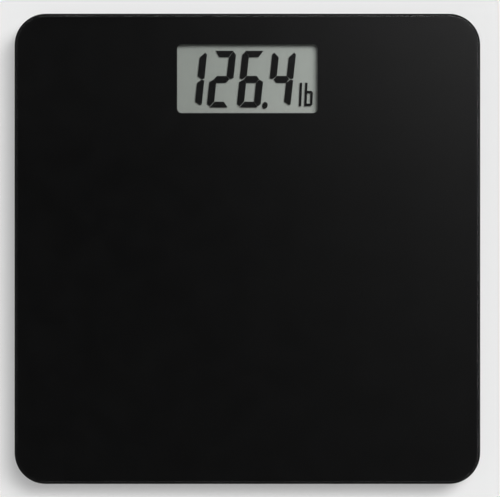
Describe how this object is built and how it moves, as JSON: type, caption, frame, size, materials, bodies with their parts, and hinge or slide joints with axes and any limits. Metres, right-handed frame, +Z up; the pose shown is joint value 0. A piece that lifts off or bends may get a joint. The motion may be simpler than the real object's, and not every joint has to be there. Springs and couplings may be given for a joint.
{
  "type": "digital bathroom scale",
  "caption": "Square black glass bathroom scale with round corners, a segment display behind a clear window and round load-cell feet under its corners.",
  "frame": {"origin": "on the floor, under the middle of the platform", "axes": "+Z up, +Y away from the person who stands on it, towards the display's edge, +X to that person's right"},
  "size_m": [0.3, 0.303, 0.0235],
  "materials": {
    "platform_glass": "tempered, pencil-polished edge",
    "black_coat": "black coat fired on the glass",
    "foam_tape": "double-sided foam tape",
    "black_plastic": "fine-textured black ABS",
    "white_plastic": "satin white plastic",
    "grey_plastic": "satin grey plastic",
    "display_grey": "satin grey-green reflective display",
    "display_glass": "thin clear glass",
    "reflector_foil": "matt silver foil",
    "connector_rubber": "striped conductive elastomer",
    "circuit_board": "green solder mask",
    "black_epoxy": "black epoxy",
    "nickel_plate": "bright nickel plate",
    "capacitor_case": "moulded ochre case",
    "battery_wrap": "plain printed sleeve",
    "wire_insulation": "soft PVC insulation",
    "screw_steel": "zinc-plated steel",
    "cell_steel": "nickel-plated spring steel",
    "white_silicone": "soft white silicone",
    "foot_rubber": "soft black anti-slip rubber"
  },
  "bodies": {
    "root": {"back_cover": "black_plastic", "battery_1": "battery_wrap", "battery_2": "battery_wrap", "battery_leads": "wire_insulation", "battery_spring_1": "nickel_plate", "battery_spring_2": "nickel_plate", "black_backing": "black_coat", "board_screws": "screw_steel", "cell_screws": "screw_steel", "controller_blob": "black_epoxy", "cover_screws": "screw_steel", "crystal_can": "nickel_plate", "display_housing": "black_plastic", "display_tape": "foam_tape", "filter_capacitor": "capacitor_case", "foot_housing_front_left": "black_plastic", "foot_housing_front_right": "black_plastic", "foot_housing_rear_left": "black_plastic", "foot_housing_rear_right": "black_plastic", "foot_tapes": "foam_tape", "front_polariser": "display_grey", "gauge_potting_front_left": "white_silicone", "gauge_potting_front_right": "white_silicone", "gauge_potting_rear_left": "white_silicone", "gauge_potting_rear_right": "white_silicone", "glass_platform": "platform_glass", "lcd_frame": "white_plastic", "lcd_front_glass": "display_glass", "lcd_rear_glass": "display_glass", "lcd_reflector": "reflector_foil", "link_contact": "nickel_plate", "load_cell_front_left": "cell_steel", "load_cell_front_right": "cell_steel", "load_cell_rear_left": "cell_steel", "load_cell_rear_right": "cell_steel", "main_board": "circuit_board", "negative_contact": "nickel_plate", "positive_contact": "nickel_plate", "sensor_wires_front_left": "wire_insulation", "sensor_wires_front_right": "wire_insulation", "sensor_wires_rear_left": "wire_insulation", "sensor_wires_rear_right": "wire_insulation", "switch_body": "black_epoxy", "wire_guide_front_left": "black_plastic", "wire_guide_front_right": "black_plastic", "wire_guide_rear_left": "black_plastic", "wire_guide_rear_right": "black_plastic", "zebra_strip": "connector_rubber"},
    "unit_button": {"unit_button": "grey_plastic"},
    "switch_plunger": {"switch_plunger": "white_plastic"},
    "battery_door": {"battery_door": "black_plastic"},
    "foot_front_left": {"foot_cap_front_left": "black_plastic", "rubber_pad_front_left": "foot_rubber"},
    "foot_front_right": {"foot_cap_front_right": "black_plastic", "rubber_pad_front_right": "foot_rubber"},
    "foot_rear_left": {"foot_cap_rear_left": "black_plastic", "rubber_pad_rear_left": "foot_rubber"},
    "foot_rear_right": {"foot_cap_rear_right": "black_plastic", "rubber_pad_rear_right": "foot_rubber"}
  },
  "joints": [
    {"name": "foot_press_front_left", "type": "slide", "parent": "root", "child": "foot_front_left", "axis": [0, 0, 1], "range_m": [0, 0.0004], "stiffness_N_per_m": 8000, "springref_m": -0.0009, "deforming": ["load_cell_front_left"]},
    {"name": "foot_press_front_right", "type": "slide", "parent": "root", "child": "foot_front_right", "axis": [0, 0, 1], "range_m": [0, 0.0004], "stiffness_N_per_m": 8000, "springref_m": -0.0009, "deforming": ["load_cell_front_right"]},
    {"name": "foot_press_rear_left", "type": "slide", "parent": "root", "child": "foot_rear_left", "axis": [0, 0, 1], "range_m": [0, 0.0004], "stiffness_N_per_m": 8000, "springref_m": -0.0009, "deforming": ["load_cell_rear_left"]},
    {"name": "foot_press_rear_right", "type": "slide", "parent": "root", "child": "foot_rear_right", "axis": [0, 0, 1], "range_m": [0, 0.0004], "stiffness_N_per_m": 8000, "springref_m": -0.0009, "deforming": ["load_cell_rear_right"]},
    {"name": "unit_button_press", "type": "slide", "parent": "root", "child": "unit_button", "axis": [0, 0, 1], "range_m": [0, 0.0003], "stiffness_N_per_m": 3000, "springref_m": -0.00025},
    {"name": "switch_plunger_press", "type": "slide", "parent": "root", "child": "switch_plunger", "axis": [0, 0, 1], "range_m": [0, 0.0003]},
    {"name": "battery_door_hinge", "type": "hinge", "parent": "root", "child": "battery_door", "pos_m": [0, 0.0733, 0.0042], "axis": [1, 0, 0], "range_deg": [0, 75]}
  ],
  "couplings": [
    {"joint": "switch_plunger_press", "follows": "unit_button_press", "ratio": 1}
  ]
}
